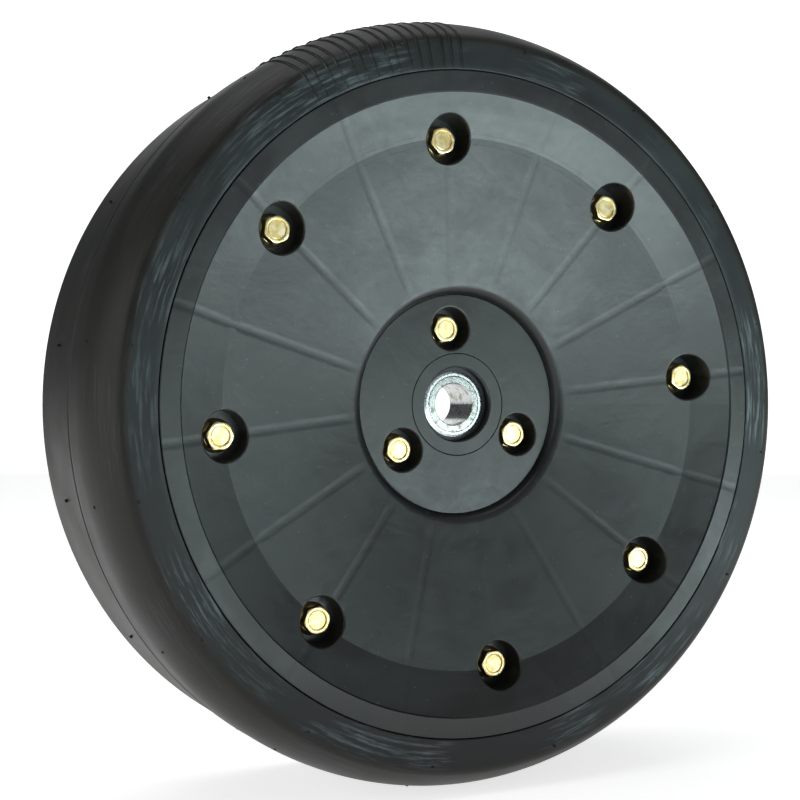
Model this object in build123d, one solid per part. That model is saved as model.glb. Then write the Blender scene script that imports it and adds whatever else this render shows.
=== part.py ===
from build123d import *
import os
from math import cos, hypot, radians, sin

# A 16 x 4.5 inch gauge wheel for a planter row unit, in millimetres.
# The axis of the wheel is Y, the dished face looks towards -Y, and +Z is up.
# The origin is on the axis, midway between the two ball rows of the bearing.

# Tyre
tyre_diameter = 406.4
tyre_width = 114.3
tread_wall = 13.0
sidewall = 12.0
sidewall_flat = 15.0
sidewall_crown = 1.4
shoulder_drop = 10.7
shoulder_setback = 4.1
crest_setback = 35.0
crease_setback = 50.5
crease_depth = 3.2
crease_width = 0.9
crease_lip = 0.2
back_taper = 1.8
back_corner = 2.6
bead_foot = 13.0
bead_height = 13.0
seat_gap = 0.05
rim_line_gap = 0.4
bead_edge_round = 0.6
cavity_corner = 12.0
cavity_round = 8.0

# Rim halves, moulded nylon
rim_diameter = 345.0
rim_ring_width = 10.2
rim_ring_step = 0.8
rim_edge_round = 0.5
rim_lip = 5.0
rim_lip_draft = 1.5
drum_diameter = 316.0
drum_wall = 4.5
wall = 4.8
spigot_length = 4.0
spigot_gap = 0.2
rear_flange_setback = 0.9

# Dished face of the front half, measured back from the rim ring
crease_circle = 278.0
dish_at_crease = 7.45
dish_at_lip = 20.6
lip_circle = 120.4
lip_round = 6.0
recess_draft = 2.0
recess_depth = 25.6
recess_line_width = 0.5
recess_line_depth = 0.6
floor_wall = 5.0

# Dished face of the rear half
rear_plate = 7.0
rear_well_circle = 116.0
rear_knee_circle = 296.0
rear_knee_setback = 27.25
rear_round = 6.0

# Ribs and bosses inside the rim
rib_count = 16
rib_thickness = 3.0
rib_outer_depth = 28.0
ring_rib_depth = 16.0
boss_wall = 3.2
boss_neck_wall = 4.0
boss_neck_drop = 7.0
hub_ring_wall = 4.5
snout_wall = 3.4

# Rim bolts, M8 hex flange
bolt_diameter = 8.0
bolt_hole = 8.8
thread_gap = 0.05
head_across_flats = 13.0
head_height = 8.1
head_flange = 17.0
head_flange_edge = 1.3
head_dimple = 10.0
head_dimple_depth = 0.6
head_corner = 0.7
bolt_tip = 1.0
nut_height = 8.0
rim_bolt_count = 8
rim_bolt_circle = 277.0
rim_nut_boss = 14.2
rim_bolt_proud = 2.0
rim_bolt_start = -6.3
rim_mouth = 25.0
rim_seat_depth = 13.9
mouth_round = 1.0

# Hub bolts, the same thread, shorter
hub_bolt_count = 3
hub_bolt_circle = 81.0
hub_bolt_proud = 1.4
hub_bolt_start = -6.2
hub_mouth = 22.5
hub_seat_depth = 12.8

# Hub core
hub_spigot = 54.3
hub_spigot_gap = 0.2
hub_edge_round = 0.3
hub_mouth_bore = 39.8
hub_lip = 4.5
hub_flange = 108.0
hub_flange_thickness = 9.0
hub_flange_setback = 17.4
hub_pilot = 62.0
hub_pilot_proud = 2.6
circlip_thickness = 1.75
circlip_slack = 0.05
circlip_groove = 1.4
circlip_width = 3.6
circlip_gap_angle = 26.0
circlip_ear = 6.0
circlip_ear_hole = 2.0

# Double-row ball bearing
bearing_bore = 22.22
bearing_outside = 47.0
bearing_width = 20.6
inner_ring_width = 25.4
bore_chamfer = 0.5
inner_land = 30.4
outer_land = 39.6
ball_diameter = 6.35
ball_pitch = 35.0
row_spacing = 8.2
balls_per_row = 12
race_clearance = 0.08
cage_thickness = 2.4
cage_back = 0.8
cage_prong = 1.1
pocket_clearance = 0.12

# Seals and flingers
seal_seat_depth = 1.8
seal_seat_length = 1.9
seal_case_sheet = 0.5
seal_setback = 0.35
seal_lip_clearance = 0.25
flinger_diameter = 35.2
flinger_sheet = 0.7
flinger_setback = 0.25
flinger_bevel = 0.35
flinger_gap = 0.3

# How far a cutting shape reaches past the face that it cuts, and where a bored pocket's seam lies
overrun = 1.0
seam_turn = 45.0

# Places along the axis worked out from the sizes above
bearing_front = -bearing_width / 2
bearing_back = bearing_width / 2
hub_face = bearing_front - hub_lip
rim_face = hub_face - recess_depth
back_face = rim_face + tyre_width
parting = (rim_face + back_face) / 2
rear_rim_face = back_face - rear_flange_setback
flange_front = hub_face + hub_flange_setback
flange_back = flange_front + hub_flange_thickness
rear_plate_face = flange_back + rear_plate
rear_knee_face = parting + rear_knee_setback
rim_mouth_plane = rim_face + dish_at_crease
rim_seat = rim_mouth_plane + rim_seat_depth
rim_nut_seat = parting + rim_nut_boss
hub_seat = hub_face + hub_seat_depth
inner_ring_back = bearing_front + inner_ring_width
rim_bolt_length = rim_nut_seat - rim_seat + nut_height + rim_bolt_proud
hub_bolt_length = rear_plate_face - hub_seat + nut_height + hub_bolt_proud

# Radii used by more than one piece
crest_radius = tyre_diameter / 2
rim_radius = rim_diameter / 2
drum_radius = drum_diameter / 2
drum_bore = drum_radius - drum_wall
lip_radius = lip_circle / 2
recess_radius = lip_radius - recess_draft
hub_spigot_hole = hub_spigot / 2 + hub_spigot_gap
hub_ring_radius = hub_flange / 2 + hub_spigot_gap


def revolved(*points):
    """A ring about the Y axis from a closed outline of (radius, y) points."""
    return revolve(make_face(Polyline(*points, close=True)), axis=Axis.Y)


def corners_rounded(face, rounds):
    """A flat outline with some corners rounded: rounds maps a corner's (radius, y) to its rounding."""
    for corner, rounding in rounds.items():
        vertex = face.vertices().sort_by_distance((*corner, 0))[0]
        face = fillet(vertex, rounding)
    return face


def rounded_ring(points, rounds):
    """A ring whose outline has some corners rounded: rounds maps a corner's index to its rounding."""
    face = make_face(Polyline(*points, close=True))
    by_corner = {points[index]: rounding for index, rounding in rounds.items()}
    return revolve(corners_rounded(face, by_corner), axis=Axis.Y)


def disc(radius, start, end):
    """A solid cylinder on the wheel's axis from y = start to y = end."""
    return Pos(0, (start + end) / 2, 0) * Rot(90, 0, 0) * Cylinder(radius, end - start)


def tube(outer, inner, start, end):
    """A plain sleeve on the wheel's axis."""
    return revolved((inner, start), (outer, start), (outer, end), (inner, end))


def around(count, start_angle):
    """Turns that share out a circle, clockwise from the top as the dished face is seen."""
    return [Rot(0, start_angle + step * 360 / count, 0) for step in range(count)]


def patterned(shape, circle, count, start_angle):
    """Copies of a shape made on the wheel's axis, moved out to a bolt circle."""
    return [turn * Pos(0, 0, circle / 2) * shape for turn in around(count, start_angle)]


def rim_bolt_places(shape):
    return patterned(shape, rim_bolt_circle, rim_bolt_count, rim_bolt_start)


def hub_bolt_places(shape):
    return patterned(shape, hub_bolt_circle, hub_bolt_count, hub_bolt_start)


def fused(base, pieces):
    for piece in pieces:
        base = base + piece
    return base


def cut(base, pieces):
    for piece in pieces:
        base = base - piece
    return base


def front_face_line():
    """The visible outline of the front half, from the rim ring in to the recess wall."""
    ring_inner = rim_radius - rim_ring_width
    return [
        (rim_radius, rim_face),
        (ring_inner, rim_face),
        (ring_inner - rim_ring_step, rim_face + rim_ring_step),
        (crease_circle / 2, rim_face + dish_at_crease),
        (lip_radius, rim_face + dish_at_lip),
        (recess_radius, hub_face),
        (recess_radius, hub_face + recess_line_depth),
        (recess_radius - recess_line_width, hub_face + recess_line_depth),
        (recess_radius - recess_line_width, hub_face),
        (hub_spigot_hole, hub_face),
    ]


def rear_face_line():
    """The visible outline of the rear half, from the hub hole out to the rim ring."""
    return [
        (hub_pilot / 2 + hub_spigot_gap, rear_plate_face),
        (rear_well_circle / 2, rear_plate_face),
        (rear_knee_circle / 2, rear_knee_face),
        (drum_bore, rear_knee_face + drum_wall),
        (drum_bore, rear_rim_face),
        (rim_radius, rear_rim_face),
    ]


def flange_edge(face, inward):
    """The rim flange's edge and the drafted seat that the tyre's bead sits behind."""
    return [
        (rim_radius, face + inward * rim_lip),
        (drum_radius, face + inward * (rim_lip + rim_lip_draft)),
    ]


def bolt_boss(mouth, start, seat, end):
    """Outside of a bolt boss: wide round the head's pocket, and a narrower neck beyond."""
    step = 1 if end > start else -1
    shoulder = seat + step * boss_wall
    neck = shoulder + step * boss_neck_drop
    wide = mouth / 2 + boss_wall
    slim = bolt_hole / 2 + boss_neck_wall
    return revolved((0, start), (wide, start), (wide, shoulder), (slim, neck), (slim, end), (0, end))


def bolt_pocket(mouth, outside, seat, end):
    """What a boss is bored with: the pocket for a head or nut, and the shank's hole beyond its seat.

    Its seam is turned away from the dish's crease, which crosses the pocket's mouth."""
    return Rot(0, seam_turn, 0) * revolved(
        (0, outside),
        (mouth / 2, outside),
        (mouth / 2, seat),
        (bolt_hole / 2, seat),
        (bolt_hole / 2, end),
        (0, end),
    )


def is_mouth_edge(edge, centre, mouth, face, depth):
    """True for an edge that runs round a pocket, within depth of the plane y = face."""
    if edge.geom_type == GeomType.LINE:
        return False
    points = [edge @ 0, edge @ 0.5, edge @ 1]
    on_pocket = [abs(hypot(p.X - centre.X, p.Z - centre.Z) - mouth / 2) < seat_gap for p in points]
    return all(on_pocket) and all(abs(p.Y - face) < depth for p in points)


def mouths_rounded(body, places, mouth, face, depth):
    """Round the edges where the bolt pockets break out of the moulding's face."""
    edges = body.edges()
    for centre in [place.center() for place in places]:
        mouth_edges = [edge for edge in edges if is_mouth_edge(edge, centre, mouth, face, depth)]
        body = body.fillet(mouth_round, mouth_edges)
        edges = body.edges()
    return body


def radial_ribs(outline):
    """Thin plates standing out from the axis, one at each bolt and one midway between two."""
    plate = make_face(Polyline(*outline, close=True))
    rib = extrude(plate, rib_thickness / 2, both=True)
    on_edge = Rot(0, -90, 0) * rib
    return [turn * on_edge for turn in around(rib_count, rim_bolt_start)]


def front_rim_half():
    face_line = front_face_line()
    inner_wall = [
        (hub_spigot_hole, hub_face + floor_wall),
        (recess_radius - floor_wall, hub_face + floor_wall),
        (lip_radius, rim_face + dish_at_lip + wall),
        (crease_circle / 2, rim_face + dish_at_crease + wall),
        (drum_bore, rim_face + wall + (drum_radius - drum_bore)),
        (drum_bore, parting + spigot_length),
        (drum_bore + drum_wall / 2, parting + spigot_length),
        (drum_bore + drum_wall / 2, parting),
        (drum_radius, parting),
    ]
    rim_edge = flange_edge(rim_face, 1)[::-1]
    rounds = {0: rim_edge_round, 4: lip_round, len(face_line) - 1: hub_edge_round}
    shell = rounded_ring(face_line + inner_wall + rim_edge, rounds)
    inner_line = [(hub_spigot_hole, parting), (drum_radius, parting)]
    behind_face = rounded_ring(face_line + inner_line + rim_edge, rounds)
    ribs = radial_ribs([
        (hub_ring_radius, flange_front),
        (hub_ring_radius, rim_face),
        (drum_radius - drum_wall / 2, rim_face),
        (drum_radius - drum_wall / 2, rim_face + rib_outer_depth),
    ])
    ring_rib = tube((rim_bolt_circle + rib_thickness) / 2, (rim_bolt_circle - rib_thickness) / 2,
                    rim_face, rim_mouth_plane + ring_rib_depth)
    snout_ring = tube(hub_spigot_hole + snout_wall, hub_spigot_hole, hub_face, flange_front)
    hub_ring = tube(hub_ring_radius + hub_ring_wall, hub_ring_radius, hub_face, flange_front)
    bosses = rim_bolt_places(bolt_boss(rim_mouth, rim_face, rim_seat, parting))
    hub_boss = disc(hub_mouth / 2 + boss_wall, hub_face, flange_front)
    inside = fused(hub_ring, ribs + [ring_rib, snout_ring] + bosses + hub_bolt_places(hub_boss))
    body = shell + (inside & behind_face)
    rim_pocket = bolt_pocket(rim_mouth, rim_face - overrun, rim_seat, parting + overrun)
    hub_pocket = bolt_pocket(hub_mouth, hub_face - overrun, hub_seat, flange_front + overrun)
    rim_pockets, hub_pockets = rim_bolt_places(rim_pocket), hub_bolt_places(hub_pocket)
    body = cut(body, rim_pockets + hub_pockets)
    body = body - disc(hub_spigot_hole, hub_face - overrun, flange_front + overrun)
    body = mouths_rounded(body, rim_pockets, rim_mouth, rim_mouth_plane, dish_at_crease)
    return mouths_rounded(body, hub_pockets, hub_mouth, hub_face, overrun)


def rear_rim_half():
    face_line = rear_face_line()
    plate_hole = hub_pilot / 2 + hub_spigot_gap
    rebate = drum_bore + drum_wall / 2 + spigot_gap
    inner_wall = [
        (drum_radius, parting),
        (rebate, parting),
        (rebate, parting + spigot_length + spigot_gap),
        (drum_bore, parting + spigot_length + spigot_gap),
        (drum_bore, rear_knee_face - wall),
        (rear_knee_circle / 2, rear_knee_face - wall),
        (rear_well_circle / 2, flange_back),
        (plate_hole, flange_back),
    ]
    outline = face_line + flange_edge(rear_rim_face, -1) + inner_wall
    shell = rounded_ring(outline, {1: rear_round, 2: rear_round})
    inside_face = revolved(
        *face_line[:4],
        (drum_bore, parting),
        (rear_well_circle / 2, parting),
        (rear_well_circle / 2, flange_back),
        (plate_hole, flange_back),
    )
    ribs = radial_ribs([
        (hub_ring_radius, flange_back),
        (drum_bore, parting + spigot_length + boss_wall),
        (drum_bore, rear_knee_face),
        (hub_ring_radius, rear_plate_face),
    ])
    nut_plane = rim_nut_seat + nut_height + boss_wall
    bosses = rim_bolt_places(bolt_boss(rim_mouth, nut_plane, rim_nut_seat, parting))
    inside = fused(ribs[0], ribs[1:] + bosses)
    body = shell + (inside & inside_face)
    pocket = bolt_pocket(rim_mouth, rear_knee_face + drum_wall, rim_nut_seat, parting - overrun)
    rim_pockets = rim_bolt_places(pocket)
    body = mouths_rounded(cut(body, rim_pockets), rim_pockets, rim_mouth, nut_plane, rear_plate)
    hub_hole = disc(bolt_hole / 2, flange_back - overrun, rear_plate_face + overrun)
    return cut(body, hub_bolt_places(hub_hole))


def tyre():
    inner = rim_radius + rim_line_gap
    foot = drum_radius + seat_gap
    shoulder = crest_radius - shoulder_drop
    crease = rim_face + crease_setback
    crest = (crest_radius, rim_face + crest_setback)
    start = (inner, rim_face)
    flat_end = (rim_radius + sidewall_flat, rim_face + sidewall_crown)
    turn = (shoulder, rim_face + shoulder_setback)
    front_lip = rim_lip + seat_gap
    crease_edge = (crest_radius - crease_lip, crease - crease_width / 2)
    back_edge = (crest_radius - back_taper, back_face - back_corner)
    back_rim = (crest_radius - back_taper - back_corner, back_face)
    under = crest_radius - tread_wall
    front_foot = rim_face + front_lip + rim_lip_draft
    rear_foot = rear_rim_face - front_lip - rim_lip_draft
    front_wall = rim_face + sidewall
    back_wall = back_face - sidewall
    cavity = [
        (under - cavity_corner, back_wall),
        (under, back_wall - cavity_corner),
        (under, front_wall + cavity_corner + shoulder_setback),
        (under - cavity_corner, front_wall),
    ]
    outline = (
        Line(start, flat_end)
        + TangentArc(flat_end, turn, tangent=(sidewall_flat, sidewall_crown))
        + TangentArc(crest, turn, tangent=(0, -1))
        + Line(crest, crease_edge)
        + Polyline(
            crease_edge,
            (crest_radius - crease_depth, crease),
            (crest_radius - crease_lip, crease + crease_width / 2),
            back_edge,
        )
        + RadiusArc(back_edge, back_rim, -back_corner)
        + Polyline(
            back_rim,
            (inner, back_face - sidewall_crown),
            (inner, rear_rim_face - front_lip),
            (foot, rear_foot),
            (foot, rear_foot - bead_foot),
            (drum_radius + bead_height, rear_foot - bead_foot),
            *cavity,
            (drum_radius + bead_height, front_foot + bead_foot),
            (foot, front_foot + bead_foot),
            (foot, front_foot),
            (inner, rim_face + front_lip),
            start,
        )
    )
    rounds = {start: bead_edge_round, **dict.fromkeys(cavity, cavity_round)}
    return revolve(corners_rounded(make_face(outline), rounds), axis=Axis.Y)


def flange_bolt(seat, length):
    """Hex flange bolt with its axis on Y, its head before y = seat and its shank behind."""
    top = seat - head_height
    hexagon = RegularPolygon(head_across_flats / 2, 6, major_radius=False)
    hex_bar = Pos(0, seat, 0) * Rot(90, 0, 0) * extrude(hexagon, head_height)
    corner_radius = head_across_flats / 2 / cos(radians(30))
    crown = revolved(
        (0, seat),
        (corner_radius + head_corner, seat),
        (corner_radius + head_corner, top + 2 * head_corner),
        (head_across_flats / 2 - head_corner / 2, top),
        (0, top),
    )
    skirt = revolved(
        (0, seat),
        (head_flange / 2, seat),
        (head_flange / 2, seat - head_flange_edge),
        (head_across_flats / 2, seat - 2 * head_flange_edge),
        (0, seat - 2 * head_flange_edge),
    )
    dimple = disc(head_dimple / 2, top - overrun, top + head_dimple_depth)
    shank = disc(bolt_diameter / 2, seat, seat + length)
    tip = chamfer(shank.edges().group_by(Axis.Y)[-1], bolt_tip)
    return (hex_bar & crown) + skirt + tip - dimple


def flange_nut(seat):
    """Prevailing-torque flange nut with its seat at y = seat and its body behind."""
    top = seat + nut_height
    hexagon = RegularPolygon(head_across_flats / 2, 6, major_radius=False)
    hex_bar = Pos(0, top, 0) * Rot(90, 0, 0) * extrude(hexagon, nut_height)
    corner_radius = head_across_flats / 2 / cos(radians(30))
    crown = revolved(
        (0, seat),
        (corner_radius + head_corner, seat),
        (corner_radius + head_corner, top - 2 * head_corner),
        (head_across_flats / 2 - head_corner, top),
        (0, top),
    )
    skirt = revolved(
        (0, seat),
        (head_flange / 2, seat),
        (head_flange / 2, seat + head_flange_edge),
        (head_across_flats / 2, seat + 2 * head_flange_edge),
        (0, seat + 2 * head_flange_edge),
    )
    hole = disc(bolt_diameter / 2 + thread_gap, seat - overrun, top + overrun)
    return (hex_bar & crown) + skirt - hole


def hub_core():
    bore = bearing_outside / 2
    mouth = hub_mouth_bore / 2
    groove_back = bearing_back + circlip_thickness + circlip_slack
    pilot_back = rear_plate_face - rear_plate + hub_pilot_proud
    outline = [
        (mouth + bore_chamfer, hub_face),
        (hub_spigot / 2, hub_face),
        (hub_spigot / 2, flange_front),
        (hub_flange / 2, flange_front),
        (hub_flange / 2, flange_back),
        (hub_pilot / 2, flange_back),
        (hub_pilot / 2, pilot_back),
        (bore + bore_chamfer, pilot_back),
        (bore, pilot_back - bore_chamfer),
        (bore, groove_back),
        (bore + circlip_groove, groove_back),
        (bore + circlip_groove, bearing_back),
        (bore, bearing_back),
        (bore, bearing_front),
        (mouth, bearing_front),
        (mouth, hub_face + bore_chamfer),
    ]
    body = rounded_ring(outline, {1: hub_edge_round})
    hole = disc(bolt_hole / 2, flange_front - overrun, flange_back + overrun)
    return cut(body, hub_bolt_places(hole))


def bearing_circlip():
    """Internal circlip with two eared ends, its gap at the top."""
    outer = bearing_outside / 2 + circlip_groove - circlip_slack
    inner = outer - circlip_width
    back = bearing_back + circlip_thickness
    ring = tube(outer, inner, bearing_back, back)
    half_gap = circlip_gap_angle / 2
    reach = outer * 2
    wedge = make_face(Polyline(
        (0, 0),
        (-reach * sin(radians(half_gap)), reach * cos(radians(half_gap))),
        (reach * sin(radians(half_gap)), reach * cos(radians(half_gap))),
        close=True,
    ))
    gap = Pos(0, back + overrun, 0) * Rot(90, 0, 0) * extrude(wedge, circlip_thickness + 2 * overrun)
    ring = ring - gap
    ear_place = inner - circlip_ear / 2 + circlip_groove
    ear_turn = half_gap + circlip_ear
    for side in (-1, 1):
        turn = Rot(0, side * ear_turn, 0) * Pos(0, 0, ear_place)
        ring = ring + turn * disc(circlip_ear / 2, bearing_back, back)
    for side in (-1, 1):
        turn = Rot(0, side * ear_turn, 0) * Pos(0, 0, ear_place)
        ring = ring - turn * disc(circlip_ear_hole / 2, bearing_back - overrun, back + overrun)
    return ring


def race_groove(row):
    """The round channel that a ball row runs in, cut from both rings."""
    section = Pos(ball_pitch / 2, row) * Circle(ball_diameter / 2 + race_clearance)
    return revolve(section, axis=Axis.Y)


def inner_ring():
    bore = bearing_bore / 2
    land = inner_land / 2
    body = revolved(
        (bore + bore_chamfer, bearing_front),
        (land - bore_chamfer, bearing_front),
        (land, bearing_front + bore_chamfer / 2),
        (land, inner_ring_back - bore_chamfer),
        (land - bore_chamfer, inner_ring_back),
        (bore + bore_chamfer, inner_ring_back),
        (bore, inner_ring_back - bore_chamfer),
        (bore, bearing_front + bore_chamfer),
    )
    return body - race_groove(-row_spacing / 2) - race_groove(row_spacing / 2)


def outer_ring():
    land = outer_land / 2
    seat = land + seal_seat_depth
    outside = bearing_outside / 2
    body = revolved(
        (seat, bearing_front),
        (outside - bore_chamfer, bearing_front),
        (outside, bearing_front + bore_chamfer),
        (outside, bearing_back - bore_chamfer),
        (outside - bore_chamfer, bearing_back),
        (seat, bearing_back),
        (seat, bearing_back - seal_seat_length),
        (land, bearing_back - seal_seat_length),
        (land, bearing_front + seal_seat_length),
        (seat, bearing_front + seal_seat_length),
    )
    return body - race_groove(-row_spacing / 2) - race_groove(row_spacing / 2)


def ball_row(side):
    ball = Pos(0, side * row_spacing / 2, ball_pitch / 2) * Sphere(ball_diameter / 2)
    return [turn * ball for turn in around(balls_per_row, 0)]


def ball_cage(side):
    """Snap cage: a back ring outboard of the balls with prongs that reach between them."""
    middle = row_spacing / 2
    pocket = ball_diameter / 2 + pocket_clearance
    inner = ball_pitch / 2 - cage_thickness / 2
    outer = ball_pitch / 2 + cage_thickness / 2
    start = side * (middle - cage_prong)
    end = side * (middle + pocket + cage_back)
    ring = tube(outer, inner, min(start, end), max(start, end))
    window = Pos(0, side * middle, ball_pitch / 2) * Sphere(pocket)
    return cut(ring, [turn * window for turn in around(balls_per_row, 0)])


def seal_case(side):
    """Pressed steel ring of the seal: a washer with a rim that grips the outer ring."""
    outer = outer_land / 2 + seal_seat_depth
    face = bearing_width / 2 - seal_setback
    back = bearing_width / 2 - seal_seat_length
    inner = flinger_diameter / 2 + flinger_gap
    points = [
        (inner + seal_case_sheet, back),
        (outer, back),
        (outer, face),
        (outer - seal_case_sheet, face),
        (outer - seal_case_sheet, back + seal_case_sheet),
        (inner + seal_case_sheet, back + seal_case_sheet),
    ]
    return revolved(*[(radius, side * y) for radius, y in points])


def seal_lip(side):
    """Rubber of the seal: the black face seen round the flinger, and the lip behind it."""
    outer = outer_land / 2 + seal_seat_depth - seal_case_sheet
    face = bearing_width / 2 - seal_setback - flinger_setback
    back = bearing_width / 2 - seal_seat_length
    behind = back + seal_case_sheet
    clear = flinger_diameter / 2 + flinger_gap
    points = [
        (inner_land / 2 + seal_lip_clearance, back),
        (clear + seal_case_sheet, back),
        (clear + seal_case_sheet, behind),
        (outer, behind),
        (outer, face),
        (clear, face),
        (clear, behind),
        (inner_land / 2 + seal_lip_clearance, behind),
    ]
    return revolved(*[(radius, side * y) for radius, y in points])


def flinger(side):
    """Bright dished washer pressed on the inner ring, which throws soil off the seal."""
    inner = inner_land / 2
    outer = flinger_diameter / 2
    face = bearing_width / 2 - flinger_setback
    back = face - flinger_sheet
    points = [
        (inner, back),
        (outer, back),
        (outer, face - flinger_bevel),
        (inner + (outer - inner) / 2, face),
        (inner, face),
    ]
    return revolved(*[(radius, side * y) for radius, y in points])


def write(node, *solids):
    """Write one node's solids to its own STEP file."""
    shape = solids[0] if len(solids) == 1 else Compound(children=list(solids))
    shape.label = node
    export_step(shape, f"parts/{node}.step")


os.makedirs("parts", exist_ok=True)
write("tyre", tyre())
write("front_rim_half", front_rim_half())
write("rear_rim_half", rear_rim_half())
write("rim_bolts", *rim_bolt_places(flange_bolt(rim_seat, rim_bolt_length)))
write("rim_nuts", *rim_bolt_places(flange_nut(rim_nut_seat)))
write("hub_core", hub_core())
write("hub_bolts", *hub_bolt_places(flange_bolt(hub_seat, hub_bolt_length)))
write("hub_nuts", *hub_bolt_places(flange_nut(rear_plate_face)))
write("bearing_circlip", bearing_circlip())
write("bearing_outer_ring", outer_ring())
write("bearing_inner_ring", inner_ring())
for name, side in (("front", -1), ("rear", 1)):
    write(f"{name}_ball_row", *ball_row(side))
    write(f"{name}_ball_cage", ball_cage(side))
    write(f"{name}_seal_case", seal_case(side))
    write(f"{name}_seal_lip", seal_lip(side))
    write(f"{name}_flinger", flinger(side))
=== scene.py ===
# %% [markdown]
# # A gauge wheel, dressed for its picture
# The wheel runs beside a planter's opener disc and sets how deep the seed goes. The packed
# CAD model comes in first as a fixed frame. Every piece made here sits in that frame, in
# metres, with the wheel's axis along Y and its dished face towards -Y.

# %% Load the frame
from math import atan2, cos, degrees, hypot, radians, sin

import bpy
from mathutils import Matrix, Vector


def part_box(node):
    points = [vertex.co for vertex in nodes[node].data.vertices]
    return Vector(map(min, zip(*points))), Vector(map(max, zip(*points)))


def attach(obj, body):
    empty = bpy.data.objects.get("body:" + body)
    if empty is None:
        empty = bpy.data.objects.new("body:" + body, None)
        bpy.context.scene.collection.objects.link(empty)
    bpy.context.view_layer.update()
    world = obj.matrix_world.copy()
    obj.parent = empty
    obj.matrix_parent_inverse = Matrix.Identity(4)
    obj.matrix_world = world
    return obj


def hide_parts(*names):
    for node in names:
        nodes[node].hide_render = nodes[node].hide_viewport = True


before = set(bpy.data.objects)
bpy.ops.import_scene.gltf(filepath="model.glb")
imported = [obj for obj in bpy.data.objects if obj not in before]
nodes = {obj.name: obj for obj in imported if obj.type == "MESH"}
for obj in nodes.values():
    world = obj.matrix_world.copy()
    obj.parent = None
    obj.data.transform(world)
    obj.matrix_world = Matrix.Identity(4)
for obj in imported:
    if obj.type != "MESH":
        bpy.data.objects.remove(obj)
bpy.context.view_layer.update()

# %% [markdown]
# ## The camera
# The photograph was taken level with the hub, 26 degrees round towards the tyre's left side,
# from about 0.8 m. A camera could be aimed with a constraint, but a place and a direction
# are enough, and they stay fixed whatever moves later.

# %% Place the camera
CAMERA_PLACE = Vector((-0.3808, -0.7141, 0.00225))
CAMERA_LOOK = Vector((0.4439, 0.8961, 0.0))
lens = bpy.data.cameras.new("product_lens")
lens.sensor_width = 36
lens.lens = 67.1
camera = bpy.data.objects.new("product_camera", lens)
bpy.context.scene.collection.objects.link(camera)
camera.location = CAMERA_PLACE
camera.rotation_euler = CAMERA_LOOK.to_track_quat("-Z", "Y").to_euler()
bpy.context.scene.camera = camera
bpy.context.scene.view_settings.view_transform = "Standard"
print("camera", round(degrees(atan2(CAMERA_LOOK.x, CAMERA_LOOK.y)), 1), "degrees round")

# %% [markdown]# %% [markdown]
# ## Two helpers for every finish
# A colour is written as the hex value that a colour picker shows, and Blender works with
# linear light, so one function turns the one into the other. The other adds a shader node.
# Nodes could be wired one by one, but with a single helper each finish reads as a recipe.

# %% Colour and node helpers
MM = 0.001


def colour(hex_value):
    """An sRGB hex value as linear red, green, blue and alpha."""
    parts = [int(hex_value[i:i + 2], 16) / 255 for i in (1, 3, 5)]
    return [p / 12.92 if p <= 0.04045 else ((p + 0.055) / 1.055) ** 2.4 for p in parts] + [1]


def add(finish, kind, *inputs, out=0, **settings):
    """One more node in a finish. Its inputs come in order, and None leaves one as it is."""
    node = finish.node_tree.nodes.new("ShaderNode" + kind)
    for name, value in settings.items():
        setattr(node, name, value)
    for socket, value in zip(node.inputs, inputs):
        if isinstance(value, bpy.types.NodeSocket):
            finish.node_tree.links.new(value, socket)
        elif value is not None:
            socket.default_value = colour(value) if isinstance(value, str) else value
    return node.outputs[out]


def new_finish(name, settings):
    """A finish and its shader, with the values that are the same all over."""
    finish = bpy.data.materials.new(name)
    finish.use_nodes = True
    shader = finish.node_tree.nodes["Principled BSDF"]
    for socket, value in settings.items():
        shader.inputs[socket].default_value = value
    return finish, shader


def feed(shader, **sources):
    """Lead outputs into a shader's sockets, which are named with _ for each space."""
    for name, source in sources.items():
        shader.id_data.links.new(source, shader.inputs[name.replace("_", " ")])


def wheel_coordinates(finish):
    """The point, its distance from the axle, its place along the axle and its clock angle."""
    point = add(finish, "TexCoord", out=3)
    parts = add(finish, "SeparateXYZ", point).node.outputs
    across = add(finish, "CombineXYZ", parts[0], None, parts[2])
    reach = add(finish, "VectorMath", across, out=1, operation="LENGTH")
    return point, reach, parts[1], add(finish, "Math", parts[0], parts[2], operation="ARCTAN2")


def ring_coordinates(finish, reach, along, angle, stretch):
    """Coordinates that run round the wheel, so that a pattern is drawn out along its turning."""
    round_way = add(finish, "Math", angle, 0.19 / stretch, operation="MULTIPLY")
    return add(finish, "CombineXYZ", reach, along, round_way)


print("helpers ready")

# %% [markdown]
# ## Moulded nylon
# The rim is black glass-filled nylon. It leaves the mould satin, with cloudy flow marks
# where the glass lies near the skin, a fine grain, and sink lines where the ribs behind it
# pulled the skin in as it cooled. Those lines follow the ribs, so they are worked out from
# the clock angle and the radius. An image could hold them, but a formula stays sharp.

# %% Where the nylon sinks
RIB_STEP = radians(22.5)
RIB_START = radians(-6.3)

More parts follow.
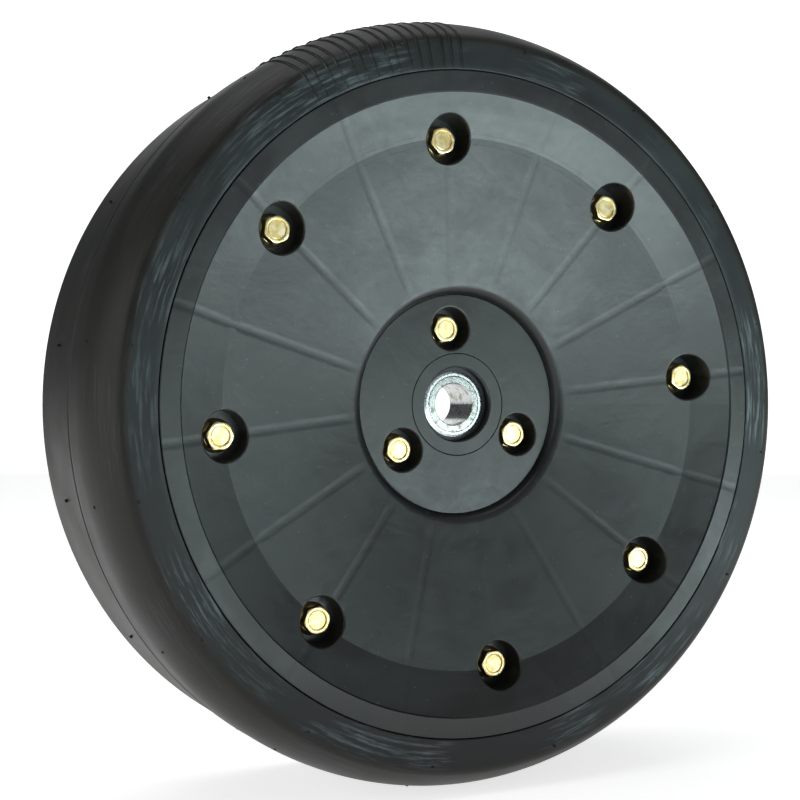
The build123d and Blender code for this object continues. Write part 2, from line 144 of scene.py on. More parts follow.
nylon, skin = new_finish("moulded_black_nylon", {"Metallic": 0.0, "IOR": 1.53})
point, reach, along, angle = wheel_coordinates(nylon)
from_rib = add(nylon, "Math", add(nylon, "Math", angle, RIB_START, operation="SUBTRACT"), RIB_STEP / 2,
               operation="PINGPONG")
rib_distance = add(nylon, "Math", from_rib, reach, operation="MULTIPLY")
sink = add(nylon, "MapRange", rib_distance, 0.3 * MM, 3.2 * MM, 1.0, 0.0, interpolation_type="SMOOTHSTEP")
ring_distance = add(nylon, "Math", reach, 138.5 * MM, 2.6 * MM, operation="COMPARE")
ring_sink = add(nylon, "Math", ring_distance, 0.5, operation="MULTIPLY")
dish_only = add(nylon, "MapRange", reach, 62 * MM, 72 * MM, 0.0, 1.0, interpolation_type="SMOOTHSTEP")
sinks = add(nylon, "Math", add(nylon, "Math", sink, ring_sink, operation="MAXIMUM"), dish_only,
            operation="MULTIPLY")
print("sink lines every", round(degrees(RIB_STEP), 1), "degrees")

# %% Nylon finish
# Clouds of 45 mm, streaks of 14 mm, specks of 1.6 mm and a mould grain of 0.45 mm
clouds = add(nylon, "TexNoise", point, None, 1 / (45 * MM), 6.0, 0.58, None, None, None, 0.6)
streak_way = ring_coordinates(nylon, reach, along, angle, 5.0)
streaks = add(nylon, "TexNoise", streak_way, None, 1 / (14 * MM), 4.0, 0.6)
mottle = add(nylon, "TexNoise", point, None, 1 / (5 * MM), 5.0, 0.65)
grain = add(nylon, "TexNoise", point, None, 1 / (0.45 * MM), 2.0, 0.5)
specks = add(nylon, "MapRange", add(nylon, "TexNoise", point, None, 1 / (1.6 * MM), 2.0, 0.5), 0.70, 0.75)
tone = add(nylon, "Math", clouds, 0.6, add(nylon, "Math", streaks, 0.4, operation="MULTIPLY"),
           operation="MULTIPLY_ADD")
haze = add(nylon, "MapRange", tone, 0.40, 0.62, 0.0, 1.0, interpolation_type="SMOOTHSTEP")
base = add(nylon, "MixRGB", haze, "#0d0e0e", "#161919")
base = add(nylon, "MixRGB", add(nylon, "Math", specks, 0.22, operation="MULTIPLY"), base, "#7c8689")
satin = add(nylon, "MapRange", haze, 0.0, 1.0, 0.27, 0.36)
satin = add(nylon, "Math", mottle, 0.12, satin, operation="MULTIPLY_ADD")
height = add(nylon, "Math", sinks, -0.10 * MM, add(nylon, "Math", grain, 0.010 * MM, operation="MULTIPLY"),
             operation="MULTIPLY_ADD")
height = add(nylon, "Math", mottle, 0.05 * MM, height, operation="MULTIPLY_ADD")
height = add(nylon, "Math", clouds, 0.30 * MM, height, operation="MULTIPLY_ADD")
feed(skin, Base_Color=base, Roughness=satin, Normal=add(nylon, "Bump", 1.0, 1.0, None, height))
print("nylon:", len(nylon.node_tree.nodes), "nodes")

# %% [markdown]
# ## Tyre rubber
# The tyre is carbon-black rubber, cured in a polished mould. Its bulge is painted a warmer
# brown and its flat sidewall a greyer blue, which are painted reflection tints, and clouds
# vary both. Handling has left pale scuffs that run round the wheel, and on the sidewall they
# are painted thicker towards the bottom as a painted sheen of light from below. One set of
# coordinates that runs round the wheel draws the scuffs out the right way.

# %% Rubber finish
# Bloom clouds of 40 mm, scuffs 1.6 mm wide and 14 times as long, and a mould grain of 0.6 mm
rubber, hide = new_finish("cured_tyre_rubber", {"Metallic": 0.0, "IOR": 1.5, "Specular IOR Level": 0.34})
point, reach, along, angle = wheel_coordinates(rubber)
flat_share = add(rubber, "MapRange", along, -39.3 * MM, -38.7 * MM, 1.0, 0.0, interpolation_type="SMOOTHSTEP")
clouds = add(rubber, "TexNoise", point, None, 1 / (40 * MM), 4.0, 0.55)
scuff_way = ring_coordinates(rubber, reach, along, angle, 14.0)
scuff_lines = add(rubber, "TexNoise", scuff_way, None, 1 / (1.6 * MM), 4.0, 0.62)
scuffs = add(rubber, "MapRange", scuff_lines, 0.46, 0.68, 0.0, 1.0, interpolation_type="SMOOTHSTEP")
patches = add(rubber, "MapRange", add(rubber, "TexNoise", point, None, 1 / (60 * MM), 3.0), 0.42, 0.62,
              interpolation_type="SMOOTHSTEP")
scuffs_and_sheen = add(rubber, "Math", scuffs, patches, operation="MULTIPLY")
# Scuffs are real wear, but their growth towards the bottom of the flat sidewall is a painted sheen of light
# from below
lower_sheen_share = add(rubber, "MapRange", add(rubber, "SeparateXYZ", point, out=2), -0.15, 0.1, 0.95, 0.35)
scuff_and_sheen_share = add(rubber, "MapRange", flat_share, 0.0, 1.0, 0.12, lower_sheen_share)
scuffs_and_sheen = add(rubber, "Math", scuffs_and_sheen, scuff_and_sheen_share, operation="MULTIPLY")
bloom = add(rubber, "MapRange", clouds, 0.35, 0.65)
# Painted reflection tints: brown on the bulge, grey-blue on the flat sidewall, varied by random clouds
bulge_reflection_tint = add(rubber, "MixRGB", bloom, "#12110e", "#1d1b15")
sidewall_reflection_tint = add(rubber, "MixRGB", bloom, "#161819", "#222728")
tint = add(rubber, "MixRGB", flat_share, bulge_reflection_tint, sidewall_reflection_tint)
# Pale blue-grey scuffs: partly real wear, partly painted sheen lower down
tint = add(rubber, "MixRGB", scuffs_and_sheen, tint, "#7d898c")
matt = add(rubber, "Math", scuffs_and_sheen, 0.2, add(rubber, "MapRange", clouds, 0.3, 0.7, 0.42, 0.54),
           operation="MULTIPLY_ADD")
grain = add(rubber, "TexNoise", point, None, 1 / (0.6 * MM), 3.0, 0.5)
height = add(rubber, "Math", clouds, 0.3 * MM, add(rubber, "Math", grain, 0.02 * MM, operation="MULTIPLY"),
             operation="MULTIPLY_ADD")
feed(hide, Base_Color=tint, Roughness=matt, Normal=add(rubber, "Bump", 1.0, 1.0, None, height))
print("rubber:", len(rubber.node_tree.nodes), "nodes")

# %% [markdown]
# ## Yellow zinc
# The bolts and nuts are steel with yellow chromate over zinc: a pale gold film that turns
# green or pink where it is thicker, over metal that keeps the marks of cold forming. Two
# noises of different sizes tint the one metal. A thin-film shader could do it as well,
# but the export would lose it.

# %% Zinc finish
# Film clouds of 2.6 mm and forming marks of 0.5 mm
zinc, plate = new_finish("yellow_chromate_zinc", {"Metallic": 1.0})
point = add(zinc, "TexCoord", out=3)
film = add(zinc, "TexNoise", point, None, 1 / (2.6 * MM), 3.0, 0.6)
marks = add(zinc, "TexNoise", point, None, 1 / (0.5 * MM), 3.0, 0.6)
gold = add(zinc, "MixRGB", add(zinc, "MapRange", film, 0.35, 0.6), "#efe3bd", "#d8bd79")
gold = add(zinc, "MixRGB", add(zinc, "MapRange", film, 0.56, 0.7, 0.0, 0.5), gold, "#b9b98a")
gold = add(zinc, "MixRGB", add(zinc, "MapRange", marks, 0.5, 0.75, 0.0, 0.35), gold, "#d9a98f")
feed(plate, Base_Color=gold, Roughness=add(zinc, "MapRange", marks, 0.3, 0.7, 0.26, 0.42),
     Normal=add(zinc, "Bump", 1.0, 1.0, None, add(zinc, "Math", marks, 0.05 * MM, operation="MULTIPLY")))
print("zinc:", len(zinc.node_tree.nodes), "nodes")

# %% [markdown]
# ## The bearing's metals
# The inner ring and the races are ground steel, with grinding lines round the axle and a
# few olive stains of old grease. The flinger and the seal case are pressed from bright
# zinc sheet, and the circlip is spring steel blackened in oil.

# %% Ground steel, zinc sheet and spring steel
# Grinding lines of 0.25 mm, stains of 3 mm, spangle of 1.2 mm and oil clouds of 2 mm
ground, face = new_finish("ground_bearing_steel", {"Metallic": 1.0, "Anisotropic": 0.4})
point, reach, along, angle = wheel_coordinates(ground)
grind_way = ring_coordinates(ground, reach, along, angle, 60.0)
lines = add(ground, "TexNoise", grind_way, None, 1 / (0.25 * MM), 2.0, 0.5)
stain = add(ground, "MapRange", add(ground, "TexNoise", point, None, 1 / (3.0 * MM), 3.0), 0.5, 0.66, 0.0, 0.8)
feed(face, Base_Color=add(ground, "MixRGB", stain, "#c9cccb", "#77765a"),
     Roughness=add(ground, "MapRange", lines, 0.3, 0.7, 0.16, 0.3),
     Normal=add(ground, "Bump", 1.0, 1.0, None, add(ground, "Math", lines, 0.004 * MM, operation="MULTIPLY")))

sheet, tin = new_finish("bright_zinc_sheet", {"Metallic": 1.0})
point = add(sheet, "TexCoord", out=3)
spangle = add(sheet, "TexNoise", point, None, 1 / (1.2 * MM), 3.0)
feed(tin, Base_Color=add(sheet, "MixRGB", spangle, "#a9aeb0", "#d6d9d9"),
     Roughness=add(sheet, "MapRange", spangle, 0.3, 0.7, 0.18, 0.32))

spring, temper = new_finish("oil_blacked_spring_steel", {"Metallic": 1.0, "Roughness": 0.42})
point = add(spring, "TexCoord", out=3)
oil = add(spring, "TexNoise", point, None, 1 / (2.0 * MM), 3.0)
feed(temper, Base_Color=add(spring, "MixRGB", oil, "#1f2022", "#3d3f43"))
print("metals:", [finish.name for finish in (zinc, ground, sheet, spring)])

# %% [markdown]
# ## Cage nylon and seal rubber
# The cages that space the balls are unfilled nylon, milky and slightly yellow. The seal's
# lip is black nitrile rubber, worn duller in rings where it rubs.

# %% Cage and seal finishes
# Milky clouds of 3 mm, and wear rings of 0.8 mm
milky, cage = new_finish("natural_nylon", {"Metallic": 0.0, "IOR": 1.53, "Roughness": 0.4,
                                           "Subsurface Weight": 0.1})
point = add(milky, "TexCoord", out=3)
milk = add(milky, "TexNoise", point, None, 1 / (3.0 * MM), 3.0)
feed(cage, Base_Color=add(milky, "MixRGB", milk, "#cdbf9f", "#ddd3b8"))

nitrile, lip = new_finish("black_nitrile", {"Metallic": 0.0, "IOR": 1.52})
point, reach, along, angle = wheel_coordinates(nitrile)
wear_way = ring_coordinates(nitrile, reach, along, angle, 10.0)
wear = add(nitrile, "MapRange", add(nitrile, "TexNoise", wear_way, None, 1 / (0.8 * MM), 3.0), 0.4, 0.7)
feed(lip, Base_Color=add(nitrile, "MixRGB", wear, "#0b0b0c", "#151617"),
     Roughness=add(nitrile, "MapRange", wear, 0.0, 1.0, 0.45, 0.6))
print("soft finishes:", [finish.name for finish in (rubber, milky, nitrile)])

# %% [markdown]
# ## Give the CAD pieces their finishes
# The rim halves, the hub and the bearing have their right shapes already, so they keep
# their meshes and only get the finishes above.

# %% Dress the CAD nodes
FINISH_OF = {
    "front_rim_half": nylon, "rear_rim_half": nylon, "hub_core": nylon, "tyre": rubber,
    "rim_bolts": zinc, "rim_nuts": zinc, "hub_bolts": zinc, "hub_nuts": zinc,
    "bearing_circlip": spring, "bearing_outer_ring": ground, "bearing_inner_ring": ground,
    "front_ball_row": ground, "rear_ball_row": ground, "front_ball_cage": milky, "rear_ball_cage": milky,
    "front_seal_case": sheet, "rear_seal_case": sheet, "front_flinger": sheet, "rear_flinger": sheet,
    "front_seal_lip": nitrile, "rear_seal_lip": nitrile,
}
for name, finish in FINISH_OF.items():
    for place in nodes[name].material_slots:
        place.material = finish
print(len(FINISH_OF), "CAD nodes dressed")

# %% [markdown]
# ## The tyre
# A tyre is a ring, so its section is drawn once and spun about the axle. The section could
# be typed in as points, but drawing it as a lathe hand would, with straight runs and arcs
# that meet smoothly, keeps the round shoulder exact. Straight runs are extrusions of one
# vertex, and each arc is a small spin of that vertex about the arc's own centre.

# %% Drawing tools for a section
CREST = 203.2
RIM_FACE = -40.4
BACK_FACE = 73.9


def deselect_all():
    if bpy.context.mode != "OBJECT":
        bpy.ops.object.mode_set(mode="OBJECT")
    bpy.ops.object.select_all(action="DESELECT")


def choose(piece, kind, test):
    """Select only the points, edges or faces that pass a test, and stay in edit mode."""
    deselect_all()
    piece.select_set(True)
    bpy.context.view_layer.objects.active = piece
    parts = {"VERT": piece.data.vertices, "EDGE": piece.data.edges, "FACE": piece.data.polygons}
    for others in parts.values():
        others.foreach_set("select", [False] * len(others))
    chosen = [bool(test(part)) for part in parts[kind]]
    parts[kind].foreach_set("select", chosen)
    bpy.context.tool_settings.mesh_select_mode = [kind == name for name in parts]
    bpy.ops.object.mode_set(mode="EDIT")
    return sum(chosen)


def start_section(name, at):
    """A new mesh in edit mode that is one vertex at (radius, y) in millimetres."""
    deselect_all()
    bpy.ops.mesh.primitive_plane_add(size=MM, location=(0, 0, 0))
    piece = bpy.context.object
    piece.name = piece.data.name = name
    bpy.ops.object.mode_set(mode="EDIT")
    bpy.ops.mesh.select_all(action="SELECT")
    bpy.ops.mesh.merge(type="CENTER")
    bpy.ops.transform.translate(value=(at[0] * MM, at[1] * MM, 0))
    return piece, at


def run_to(start, end, cuts=1):
    """Extrude the end vertex in equal lengths, and return where it now is."""
    step = ((end[0] - start[0]) * MM / cuts, (end[1] - start[1]) * MM / cuts, 0)
    for _ in range(cuts):
        bpy.ops.mesh.extrude_region_move(TRANSFORM_OT_translate={"value": step})
    return end


def arc_to(start, end, heading, cuts):
    """Spin the end vertex along the arc that leaves start in a heading and reaches end."""
    chord = (end[0] - start[0], end[1] - start[1])
    length = hypot(*chord)
    turn = atan2(heading[0] * chord[1] - heading[1] * chord[0], heading[0] * chord[0] + heading[1] * chord[1])
    radius = length / (2 * sin(turn))
    size = hypot(*heading)
    centre = ((start[0] - heading[1] / size * radius) * MM, (start[1] + heading[0] / size * radius) * MM, 0)
    bpy.ops.mesh.spin(steps=cuts, angle=-2 * turn, center=centre, axis=(0, 0, 1), dupli=False)
    return end


print("section tools ready")

# %% [markdown]
# The section starts at the bead beside the rim ring, goes out along the flat sidewall, round
# the shoulder and over the bulge to the crease, and comes back down behind the flatter back
# band to the other bead. Then it closes through the hollow inside.

# %% Draw the tyre's section
tyre, at = start_section("tyre_dressed", (172.9, -39.8))
at = arc_to(at, (173.5, RIM_FACE), (0, -1), 4)
at = run_to(at, (187.5, -39.0), 5)
at = arc_to(at, (192.5, -36.3), (15, 1.4), 8)
at = arc_to(at, (CREST, -5.4), (cos(radians(51.8)), sin(radians(51.8))), 14)
at = run_to(at, (203.05, 9.0), 6)
at = arc_to(at, (202.6, 9.6), (-0.01, 1), 2)
at = run_to(at, (200.0, 9.85))
at = run_to(at, (200.0, 10.35))
at = run_to(at, (202.5, 10.6))
at = arc_to(at, (203.1, 11.5), (0.3, 1), 4)
at = arc_to(at, (202.3, 13.0), (-0.1, 1), 4)
at = run_to(at, (201.4, 71.3), 14)
at = arc_to(at, (198.8, BACK_FACE), (-0.03, 1), 6)
at = run_to(at, (173.5, 72.6), 4)
for corner in ((172.9, 72.0), (172.9, 67.9), (158.1, 66.4), (158.1, 53.4), (171.0, 53.4), (178.2, 61.9),
               (190.2, 49.9), (190.2, -12.3), (178.2, -28.4), (171.0, -20.9), (158.1, -20.9),
               (158.1, -33.9), (172.9, -35.4)):
    at = run_to(at, corner)
bpy.ops.object.mode_set(mode="OBJECT")
loose_ends = (0, [v.index for v in tyre.data.vertices if v.select][0])
tyre.data.vertices[0].select = True
bpy.ops.object.mode_set(mode="EDIT")
bpy.ops.mesh.select_mode(type="VERT")
bpy.ops.mesh.edge_face_add()
print("section:", len(tyre.data.vertices), "points, closed between", loose_ends, "last at", at)

# %% [markdown]
# One patch of the tyre, just left of the top, carries fine lines across it, where the
# mould's segments left their flash. The spin there takes much finer steps, so that single
# columns of points can be lifted into those lines later.

# %% Spin the section
PATCH_START, PATCH_END = -34.0, -2.0
PATCH_STEPS, REST_STEPS = 256, 216
UP_FROM_SIDE = PATCH_END - 90


def clock(point):
    """Degrees clockwise from the top, as the dished face is seen."""
    return degrees(atan2(point[0], point[2]))


def turn_selected(clockwise):
    """Turn what is selected about the axle. With no window the operator turns the other way."""
    bpy.ops.transform.rotate(value=-radians(clockwise), orient_axis="Y", orient_type="GLOBAL",
                             center_override=(0, 0, 0))


def spin_on(clockwise, steps):
    """Spin the selected section about the axle, clockwise as the dished face is seen."""
    bpy.ops.mesh.spin(steps=steps, angle=-radians(clockwise), center=(0, 0, 0), axis=(0, 1, 0), dupli=False)


def close_and_face_out(piece):
    """Weld the seams, turn every face outwards and leave edit mode."""
    bpy.ops.mesh.select_all(action="SELECT")
    bpy.ops.mesh.remove_doubles(threshold=0.02 * MM)
    bpy.ops.mesh.normals_make_consistent(inside=False)
    bpy.ops.object.mode_set(mode="OBJECT")
    open_edges = len(piece.data.edges) - len({k for p in piece.data.polygons for k in p.edge_keys})
    points, faces = len(piece.data.vertices), len(piece.data.polygons)
    print(piece.name, points, "points,", faces, "faces,", open_edges, "loose")


bpy.ops.mesh.select_all(action="SELECT")
turn_selected(UP_FROM_SIDE)
bpy.ops.object.mode_set(mode="OBJECT")
print("section now at", round(clock(tyre.data.vertices[0].co), 2), "degrees")
bpy.ops.object.mode_set(mode="EDIT")
bpy.ops.mesh.select_all(action="SELECT")
spin_on(360 - (PATCH_END - PATCH_START), REST_STEPS)
spin_on(PATCH_END - PATCH_START, PATCH_STEPS)
close_and_face_out(tyre)

# %% [markdown]
# The lines are lifted now. Each is one column of points, raised half a millimetre, with the
# next columns sunk a little, because flash leaves a dark nick beside it. Where a line
# crosses the crest it ends in a nub, which the outline of the real tyre shows.

# %% Raise the mould lines
LINE_ANGLES = [-31.6, -29.9, -27.6, -25.9, -23.5, -21.7, -19.8, -17.3, -15.6, -13.4, -11.5, -9.6,
               -7.2, -5.6, -3.9]
COLUMN = (PATCH_END - PATCH_START) / PATCH_STEPS


def lift(piece, test, height):
    """Move the points that pass a test along their normals."""
    moved = choose(piece, "VERT", lambda point: test(point.co))
    bpy.ops.transform.shrink_fatten(value=height * MM)
    bpy.ops.object.mode_set(mode="OBJECT")
    return moved


def columns_from_line(co):
    """How many columns of points lie between a point and the nearest line."""
    here = clock(co)
    return min((round((here - a) / COLUMN) for a in LINE_ANGLES), key=abs)


def on_skin(co):
    """The outer skin of the tyre from the rim line to the crease."""
    reach = hypot(co.x, co.z)
    return co.y < 8.5 * MM and (reach > 191 * MM or (co.y < -35.5 * MM and reach > 175.5 * MM))


def at_crest(co):
    return on_skin(co) and -7 * MM < co.y < 0


raised = lift(tyre, lambda co: on_skin(co) and columns_from_line(co) == 0, 0.5)
sunk = lift(tyre, lambda co: on_skin(co) and columns_from_line(co) in (2, 3), -0.35)
nubs = lift(tyre, lambda co: at_crest(co) and columns_from_line(co) == 0, 0.5)
print("mould lines: raised", raised, "sunk", sunk, "nubs", nubs)

# %% [markdown]
# The mould's vents leave small pips of rubber, one every 22.5 degrees on the bulge and
# beside the rim. One pip is made from a short cylinder: its top is inset and pushed in, as
# trimmed pips are, and it is copied round the tyre with its own mesh each time.

# %% Vent pips
def made_pip():
    """A short stub with a hollow top, standing on the origin along +Z."""
    deselect_all()
    bpy.ops.mesh.primitive_cylinder_add(vertices=12, radius=0.8 * MM, depth=1.6 * MM, location=(0, 0, 0))
    pip = bpy.context.object
    pip.name = "vent_pip"
    choose(pip, "FACE", lambda face: face.normal.z > 0.9)
    bpy.ops.mesh.inset(thickness=0.3 * MM, depth=0)
    bpy.ops.mesh.inset(thickness=0.1 * MM, depth=-0.9 * MM)
    bpy.ops.object.mode_set(mode="OBJECT")
    return pip


def copied(piece, name):
    """A copy with its own mesh."""
    twin = piece.copy()
    twin.data = piece.data.copy()
    twin.name = twin.data.name = name
    bpy.context.scene.collection.objects.link(twin)
    return twin


def settled(piece):
    """Move a piece's place and turn into its mesh, so that its object sits at the origin."""
    deselect_all()
    piece.select_set(True)
    bpy.context.view_layer.objects.active = piece
    bpy.ops.object.transform_apply(location=True, rotation=True, scale=True)
    return piece


def joined(pieces, name):
    """Several pieces as one, named for what they are."""
    deselect_all()
    for piece in pieces:
        piece.select_set(True)
    bpy.context.view_layer.objects.active = pieces[0]
    bpy.ops.object.join()
    whole = bpy.context.object
    whole.name = whole.data.name = name
    return settled(whole)


pip = made_pip()
PIP_ROWS = ((201.9, -14.0, 2.6), (187.4, -38.8, -83.0), (202.35, 40.0, 0.0))
pips = []
for number in range(16):
    for reach, along, lean in PIP_ROWS:
        angle = radians(8.5 + 22.5 * number)
        out = Vector((sin(angle), 0, cos(angle))) * cos(radians(lean)) + Vector((0, sin(radians(lean)), 0))
        twin = copied(pip, f"pip_{len(pips)}")
        twin.location = (reach * MM * sin(angle), along * MM, reach * MM * cos(angle))
        twin.rotation_euler = out.to_track_quat("Z", "Y").to_euler()
        pips.append(twin)
bpy.data.objects.remove(pip)
tyre = joined([tyre] + pips, "tyre_dressed")
tyre.data.materials.clear()
tyre.data.materials.append(rubber)
bpy.ops.object.shade_smooth_by_angle(angle=radians(35))
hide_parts("tyre")
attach(tyre, "wheel")
print("tyre with", len(pips), "pips:", len(tyre.data.polygons), "faces, box",
      [round(v * 1000, 1) for v in tyre.dimensions])

# %% [markdown]
# ## Bolts and nuts
# Eleven M8 flange bolts hold the rim together. A real head is cold forged: a hexagon with
# soft corners and a round crown, a shallow dimple inside a raised ring, and a coned flange
# under it. A hexagon crossed with a bevelled disc gives the crown its true curve, which
# bevelling the hexagon alone would not, so each head is made from crossed solids.

# %% Crossing tools
AXIS_SIDES = 48
ACROSS_FLATS = 13.0
CORNER_REACH = ACROSS_FLATS / 2 / cos(radians(30))
SHANK_RADIUS = 4.0


def stub(name, sides, radius, low, high):
    """A cylinder about Z from one height to another, in millimetres."""
    deselect_all()
    bpy.ops.mesh.primitive_cylinder_add(vertices=sides, radius=radius * MM, depth=(high - low) * MM,
                                        location=(0, 0, (high + low) / 2 * MM))
    piece = bpy.context.object
    piece.name = piece.data.name = name
    return settled(piece)


def crossed(piece, other, operation):
    """One solid cut by, added to or limited by another, which it uses up."""
    deselect_all()
    piece.select_set(True)
    bpy.context.view_layer.objects.active = piece
    crossing = piece.modifiers.new("crossing", "BOOLEAN")
    crossing.operation = operation
    crossing.object = other
    bpy.ops.object.modifier_apply(modifier=crossing.name)
    bpy.data.objects.remove(other)
    return piece


def edge_heights(piece, edge):
    """The heights of an edge's two ends, in millimetres."""
    return [piece.data.vertices[i].co.z / MM for i in edge.vertices]


def upright(piece, edge):
    """Whether an edge runs up the piece, and not round it."""
    return max(edge_heights(piece, edge)) - min(edge_heights(piece, edge)) > 1


def end_face(height, facing):
    """A test for the flat end of a piece at a height, that faces up (1) or down (-1)."""
    return lambda face: face.normal.z * facing > 0.99 and abs(face.center.z / MM - height) < 0.01


def pulled(height, scale):
    """Extrude the selected end face by a height and scale what was pulled out."""
    bpy.ops.mesh.extrude_region_move(TRANSFORM_OT_translate={"value": (0, 0, height * MM)})
    bpy.ops.transform.resize(value=(scale, scale, 1))


print("an M8 head is", round(2 * CORNER_REACH, 2), "mm across its corners")

# %% The flanged hexagon that bolts and nuts share
CROWN_TOP_RADIUS = 6.15
CROWN_DROP = 1.5
FLANGE_RADIUS = 8.5
FLANGE_EDGE = 1.3


def flanged_hexagon(name, top):
    """A soft-cornered hexagon with a round crown at a height, standing on a coned flange."""
    hexagon = stub(name, 6, CORNER_REACH, 1.0, top + 1)
    choose(hexagon, "EDGE", lambda edge: upright(hexagon, edge))
    bpy.ops.mesh.bevel(offset=0.9 * MM, segments=4, affect="EDGES")
    bpy.ops.object.mode_set(mode="OBJECT")
    crown = stub("crown", AXIS_SIDES, CROWN_TOP_RADIUS + CROWN_DROP, 0, top)
    choose(crown, "EDGE", lambda edge: min(edge_heights(crown, edge)) > top - 0.01)
    bpy.ops.mesh.bevel(offset=CROWN_DROP * MM, segments=5, affect="EDGES")
    bpy.ops.object.mode_set(mode="OBJECT")
    flange = stub("flange", AXIS_SIDES, FLANGE_RADIUS, 0, FLANGE_EDGE)
    choose(flange, "FACE", end_face(FLANGE_EDGE, 1))
    pulled(1.3, 0.80)
    bpy.ops.object.mode_set(mode="OBJECT")
    return crossed(crossed(hexagon, crown, "INTERSECT"), flange, "UNION")


def softened(piece, width):
    """Round the sharp edges, as forging and tumbling leave them."""
    choose(piece, "EDGE", lambda edge: False)
    bpy.ops.mesh.edges_select_sharp(sharpness=radians(40))
    bpy.ops.mesh.bevel(offset=width * MM, segments=2, affect="EDGES", clamp_overlap=True)
    bpy.ops.mesh.select_all(action="SELECT")
    bpy.ops.mesh.normals_make_consistent(inside=False)
    bpy.ops.object.mode_set(mode="OBJECT")
    return piece


print("hexagon tools ready")

# %% One bolt head, shank and thread
HEAD_TOP = 8.1
THREAD_PITCH = 1.25
THREAD_ROOT = 3.35
THREAD_TURNS = 5
TIP_LENGTH = 1.0


def made_bolt(name, length):
    """A flange bolt that stands on the origin, its head up +Z and its thread at the far end."""
    bolt = flanged_hexagon(name, HEAD_TOP)
    choose(bolt, "FACE", end_face(HEAD_TOP, 1))
    bpy.ops.mesh.inset(thickness=1.05 * MM, depth=0)
    bpy.ops.mesh.inset(thickness=0.3 * MM, depth=-0.75 * MM)
    bpy.ops.mesh.inset(thickness=0.35 * MM, depth=0.25 * MM)
    bpy.ops.object.mode_set(mode="OBJECT")
    plain_end = -(length - TIP_LENGTH - THREAD_TURNS * THREAD_PITCH)
    shank = stub("shank", 24, SHANK_RADIUS, plain_end, 0.6)
    choose(shank, "FACE", end_face(plain_end, -1))
    for _ in range(THREAD_TURNS):
        pulled(-0.45, THREAD_ROOT / SHANK_RADIUS)
        pulled(-0.175, 1)
        pulled(-0.45, SHANK_RADIUS / THREAD_ROOT)
        pulled(-0.175, 1)
    pulled(-TIP_LENGTH, 0.76)
    bpy.ops.object.mode_set(mode="OBJECT")
    return softened(crossed(bolt, shank, "UNION"), 0.12)


def along_span(node):
    """Where a CAD node starts and ends along the axle, in millimetres."""
    low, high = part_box(node)
    return low[1] / MM, high[1] / MM


rim_head, rim_tip = along_span("rim_bolts")
hub_head, hub_tip = along_span("hub_bolts")
rim_seat, hub_seat = rim_head + HEAD_TOP, hub_head + HEAD_TOP
rim_bolt = made_bolt("rim_bolt", rim_tip - rim_seat)
hub_bolt = made_bolt("hub_bolt", hub_tip - hub_seat)
print("bolts of", [round(bolt.dimensions.z / MM, 1) for bolt in (rim_bolt, hub_bolt)], "mm over all")

# %% [markdown]
# The nuts are flange nuts with a round collar, which is squeezed so that the nut can't
# shake loose. They share the bolt's hexagon and flange.

# %% One nut
NUT_HEX_TOP = 6.6
NUT_TOP = 8.0


def made_nut():
    """A flange nut that stands on the origin with its collar up +Z."""
    nut = flanged_hexagon("nut", NUT_HEX_TOP)
    choose(nut, "FACE", end_face(NUT_HEX_TOP, 1))
    bpy.ops.mesh.inset(thickness=0.75 * MM, depth=0)
    pulled(NUT_TOP - NUT_HEX_TOP, 0.94)
    bpy.ops.object.mode_set(mode="OBJECT")
    return softened(crossed(nut, stub("hole", 24, SHANK_RADIUS + 0.05, -1, NUT_TOP + 1), "DIFFERENCE"), 0.2)


nut = made_nut()
print("nut:", len(nut.data.polygons), "faces")

# %% [markdown]
# Every fastener is copied to its place on its bolt circle. A wrench leaves each hexagon at
# an angle of its own, so the turns come from a short list and don't repeat in order.

# %% Set out the bolts and nuts
RIM_CIRCLE, HUB_CIRCLE = 138.5, 40.5
RIM_START, HUB_START = -6.3, -6.2
RIM_TURNS = (14, 41, 3, 52, 29, 20, 35, 8)
HUB_TURNS = (24, 47, 11)


def set_out(pattern, name, circle, start, turns, along, facing, node):
    """Copies of a fastener on a bolt circle as one piece, in place of a CAD node."""
    twins = []
    for number, own_turn in enumerate(turns):
        here = radians(start + 360 / len(turns) * number)
        twin = copied(pattern, f"{name}_{number}")
        twin.location = (circle * MM * sin(here), along * MM, circle * MM * cos(here))
        twin.rotation_euler = (radians(90 * facing), radians(own_turn), 0)
        twins.append(settled(twin))
    piece = joined(twins, name)
    piece.data.materials.clear()
    piece.data.materials.append(zinc)
    bpy.ops.object.shade_smooth_by_angle(angle=radians(32))
    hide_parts(node)
    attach(piece, "wheel")
    print(name, len(piece.data.polygons), "faces")
    return piece


set_out(rim_bolt, "rim_bolts_dressed", RIM_CIRCLE, RIM_START, RIM_TURNS, rim_seat, 1, "rim_bolts")
set_out(hub_bolt, "hub_bolts_dressed", HUB_CIRCLE, HUB_START, HUB_TURNS, hub_seat, 1, "hub_bolts")
rim_nut_seat, hub_nut_seat = along_span("rim_nuts")[0], along_span("hub_nuts")[0]
set_out(nut, "rim_nuts_dressed", RIM_CIRCLE, RIM_START, RIM_TURNS[::-1], rim_nut_seat, -1, "rim_nuts")
set_out(nut, "hub_nuts_dressed", HUB_CIRCLE, HUB_START, HUB_TURNS[::-1], hub_nut_seat, -1, "hub_nuts")
for pattern in (rim_bolt, hub_bolt, nut):
    bpy.data.objects.remove(pattern)

# %% [markdown]
# ## Floor, backdrop and light
# The photograph is a product shot on white. A pale floor carries the wheel's shadow, and a
# roll of white paper hangs behind it, only as wide as the picture needs, so that the black
# rubber doesn't mirror it. A light table lies in front, which the upper half of the dish
# reflects, with a dim card above it, a soft box at the left and a large lamp overhead. The
# camera sees the rest of the room white too, so that no other view shows the paper's edge.

# %% Floor and backdrop
FLOOR_Z = -0.2035
FLOOR_BRIGHTNESS = 0.72


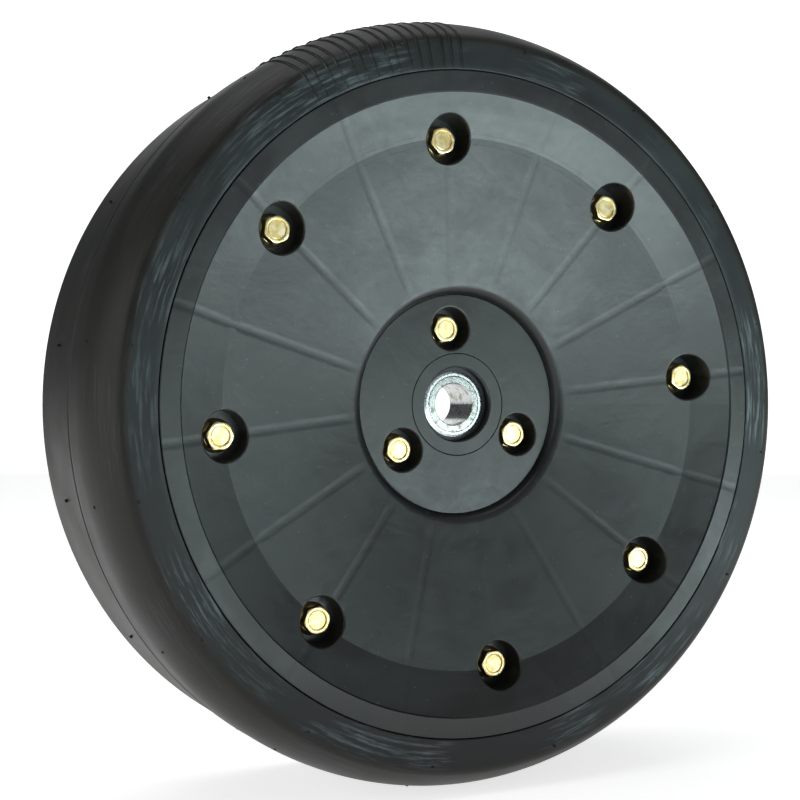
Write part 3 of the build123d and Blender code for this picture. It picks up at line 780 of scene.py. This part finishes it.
def stage_plane(name, size, place, turn, brightness):
    """A large plane that isn't part of the wheel."""
    deselect_all()
    bpy.ops.mesh.primitive_plane_add(size=size, location=place, rotation=turn)
    plane = bpy.context.object
    plane.name = name
    paper, shader = new_finish(name + "_paper", {"Roughness": 0.9, "Base Color": colour("#f4f4f2")})
    rays = add(paper, "LightPath").node.outputs
    seen = add(paper, "Math", rays["Is Camera Ray"], rays["Is Glossy Ray"], operation="MAXIMUM")
    seen = add(paper, "Math", seen, rays["Is Transmission Ray"], operation="MAXIMUM")
    shader.inputs["Emission Color"].default_value = (1, 1, 1, 1)
    feed(shader, Emission_Strength=add(paper, "Math", seen, brightness, operation="MULTIPLY"))
    plane.data.materials.append(paper)
    return plane


stage_plane("floor", 12, (0, 0, FLOOR_Z), (0, 0, 0), FLOOR_BRIGHTNESS)
stage_plane("backdrop", 3.0, (1.48, 3.05, 1.29), (radians(90), 0, radians(-26.4)), 1.0)
print("floor at", FLOOR_Z)

# %% Lamps and world
def soft_lamp(name, place, aim, size, power, tint="#ffffff"):
    """A square softbox at a place, aimed at a point."""
    light = bpy.data.lights.new(name, "AREA")
    light.shape = "RECTANGLE"
    light.size, light.size_y = size
    light.energy = power
    light.color = colour(tint)[:3]
    lamp = bpy.data.objects.new(name, light)
    bpy.context.scene.collection.objects.link(lamp)
    lamp.location = place
    lamp.rotation_euler = (Vector(aim) - Vector(place)).to_track_quat("-Z", "Y").to_euler()
    return lamp


WALL_GREY = "#9aa0a4"
WALL_BRIGHTNESS = 0.3
soft_lamp("overhead", (0, 0.3, 2.4), (0, 0, 0), (3.0, 3.0), 26)
light_table = soft_lamp("light_table", (0.93, -1.72, -0.19), (0.93, -1.72, 1), (1.0, 2.9), 68, "#dcf4f4")
light_table.rotation_euler = (radians(180), 0, radians(28.7))
soft_lamp("front_card", (0.4, -1.3, 0.75), (0.2, 0, 0), (2.4, 1.2), 2.7)
soft_lamp("left_box", (-1.5, -0.06, 0.35), (0, -0.06, 0.35), (1.1, 0.9), 5.6)
world = bpy.data.worlds.new("studio_walls")
world.use_nodes = True
walls = world.node_tree.nodes["Background"]
seen = add(world, "LightPath")
feed(walls, Color=add(world, "MixRGB", seen, WALL_GREY, "#ffffff"),
     Strength=add(world, "MapRange", seen, 0.0, 1.0, WALL_BRIGHTNESS, 1.0))
bpy.context.scene.world = world
